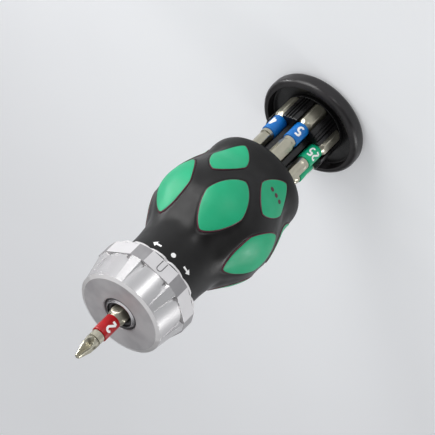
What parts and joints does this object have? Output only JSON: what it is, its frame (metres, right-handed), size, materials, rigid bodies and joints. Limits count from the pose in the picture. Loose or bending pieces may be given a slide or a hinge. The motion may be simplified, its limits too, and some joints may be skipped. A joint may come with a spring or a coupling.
{
  "type": "stubby ratcheting screwdriver",
  "caption": "Short barrel-shaped ratcheting screwdriver with a metal selector ring, a bit in its hexagon socket, and a bit magazine that slides out of the handle.",
  "frame": {"origin": "centre of the cap's flat end, on which the tool stands", "axes": "+Z along the tool's axis from the cap to the bit's tip, -Y towards the selector's index mark"},
  "size_m": [0.0466, 0.0468, 0.1424],
  "materials": {
    "hard_black": "hard moulded black plastic, satin",
    "grip_black": "satin black moulded grip layer",
    "pad_green": "soft matt green inlay",
    "cap_grey": "soft dark grey rim",
    "ring_silver": "matt chromed metal, fine satin",
    "dark_steel": "turned and hardened steel",
    "bright_steel": "bright zinc plated steel",
    "bronze": "sintered bronze",
    "seal_rubber": "black seal ring",
    "bit_steel": "satin nickel on tool steel, slightly warm",
    "band_blue": "blue sleeve with plain white numbers",
    "band_green": "green sleeve with plain white numbers",
    "band_red": "red sleeve with plain white numbers"
  },
  "bodies": {
    "handle": {"handle_core": "hard_black", "handle_grip": "grip_black", "grip_pads_front": "pad_green", "grip_pads_rear": "pad_green", "ratchet_housing": "dark_steel", "housing_cover": "dark_steel", "housing_screws": "bright_steel", "rear_bush": "bronze", "front_bush": "bronze", "thrust_washer": "bronze", "pawl_pin": "bright_steel", "detent_spring": "bright_steel", "selector_snap_ring": "bright_steel"},
    "spindle_unit": {"spindle": "dark_steel", "spindle_clip": "bright_steel", "socket_magnet": "bright_steel"},
    "pawl": {"rocker_pawl": "dark_steel"},
    "selector": {"selector_ring": "ring_silver", "selector_plunger": "bright_steel", "plunger_spring": "bright_steel"},
    "magazine": {"magazine_cap": "hard_black", "cap_grip": "cap_grey", "magazine_core": "hard_black", "magazine_guide": "hard_black", "guide_o_ring": "seal_rubber", "guide_screw": "bright_steel", "hex_bit_large": "bit_steel", "hex_bit_small": "bit_steel", "lobe_bit_large": "bit_steel", "lobe_bit_small": "bit_steel", "cross_bit_large": "bit_steel", "hex_band_large": "band_blue", "hex_band_small": "band_blue", "lobe_band_large": "band_green", "lobe_band_small": "band_green", "cross_band_large": "band_red"},
    "bit_in_socket": {"driver_bit": "bit_steel", "driver_band": "band_red"}
  },
  "joints": [
    {"name": "magazine_slide", "type": "slide", "parent": "handle", "child": "magazine", "axis": [0, 0, 1], "range_m": [-0.0008, 0.0326]},
    {"name": "selector_turn", "type": "hinge", "parent": "handle", "child": "selector", "pos_m": [0, 0, 0.1104], "axis": [0, 0, 1], "range_deg": [-27.5, 27.5], "deforming": ["detent_spring"]},
    {"name": "ratchet_spin", "type": "hinge", "parent": "handle", "child": "spindle_unit", "pos_m": [0, 0, 0.105], "axis": [0, 0, 1], "continuous": true},
    {"name": "pawl_rock", "type": "hinge", "parent": "handle", "child": "pawl", "pos_m": [0, 0.0099, 0.1072], "axis": [0, 0, 1], "range_deg": [-2.6, 2.6]},
    {"name": "bit_pull", "type": "slide", "parent": "spindle_unit", "child": "bit_in_socket", "axis": [0, 0, 1], "range_m": [0, 0.009]}
  ],
  "couplings": [
    {"joint": "pawl_rock", "follows": "selector_turn", "ratio": 0.090909}
  ]
}
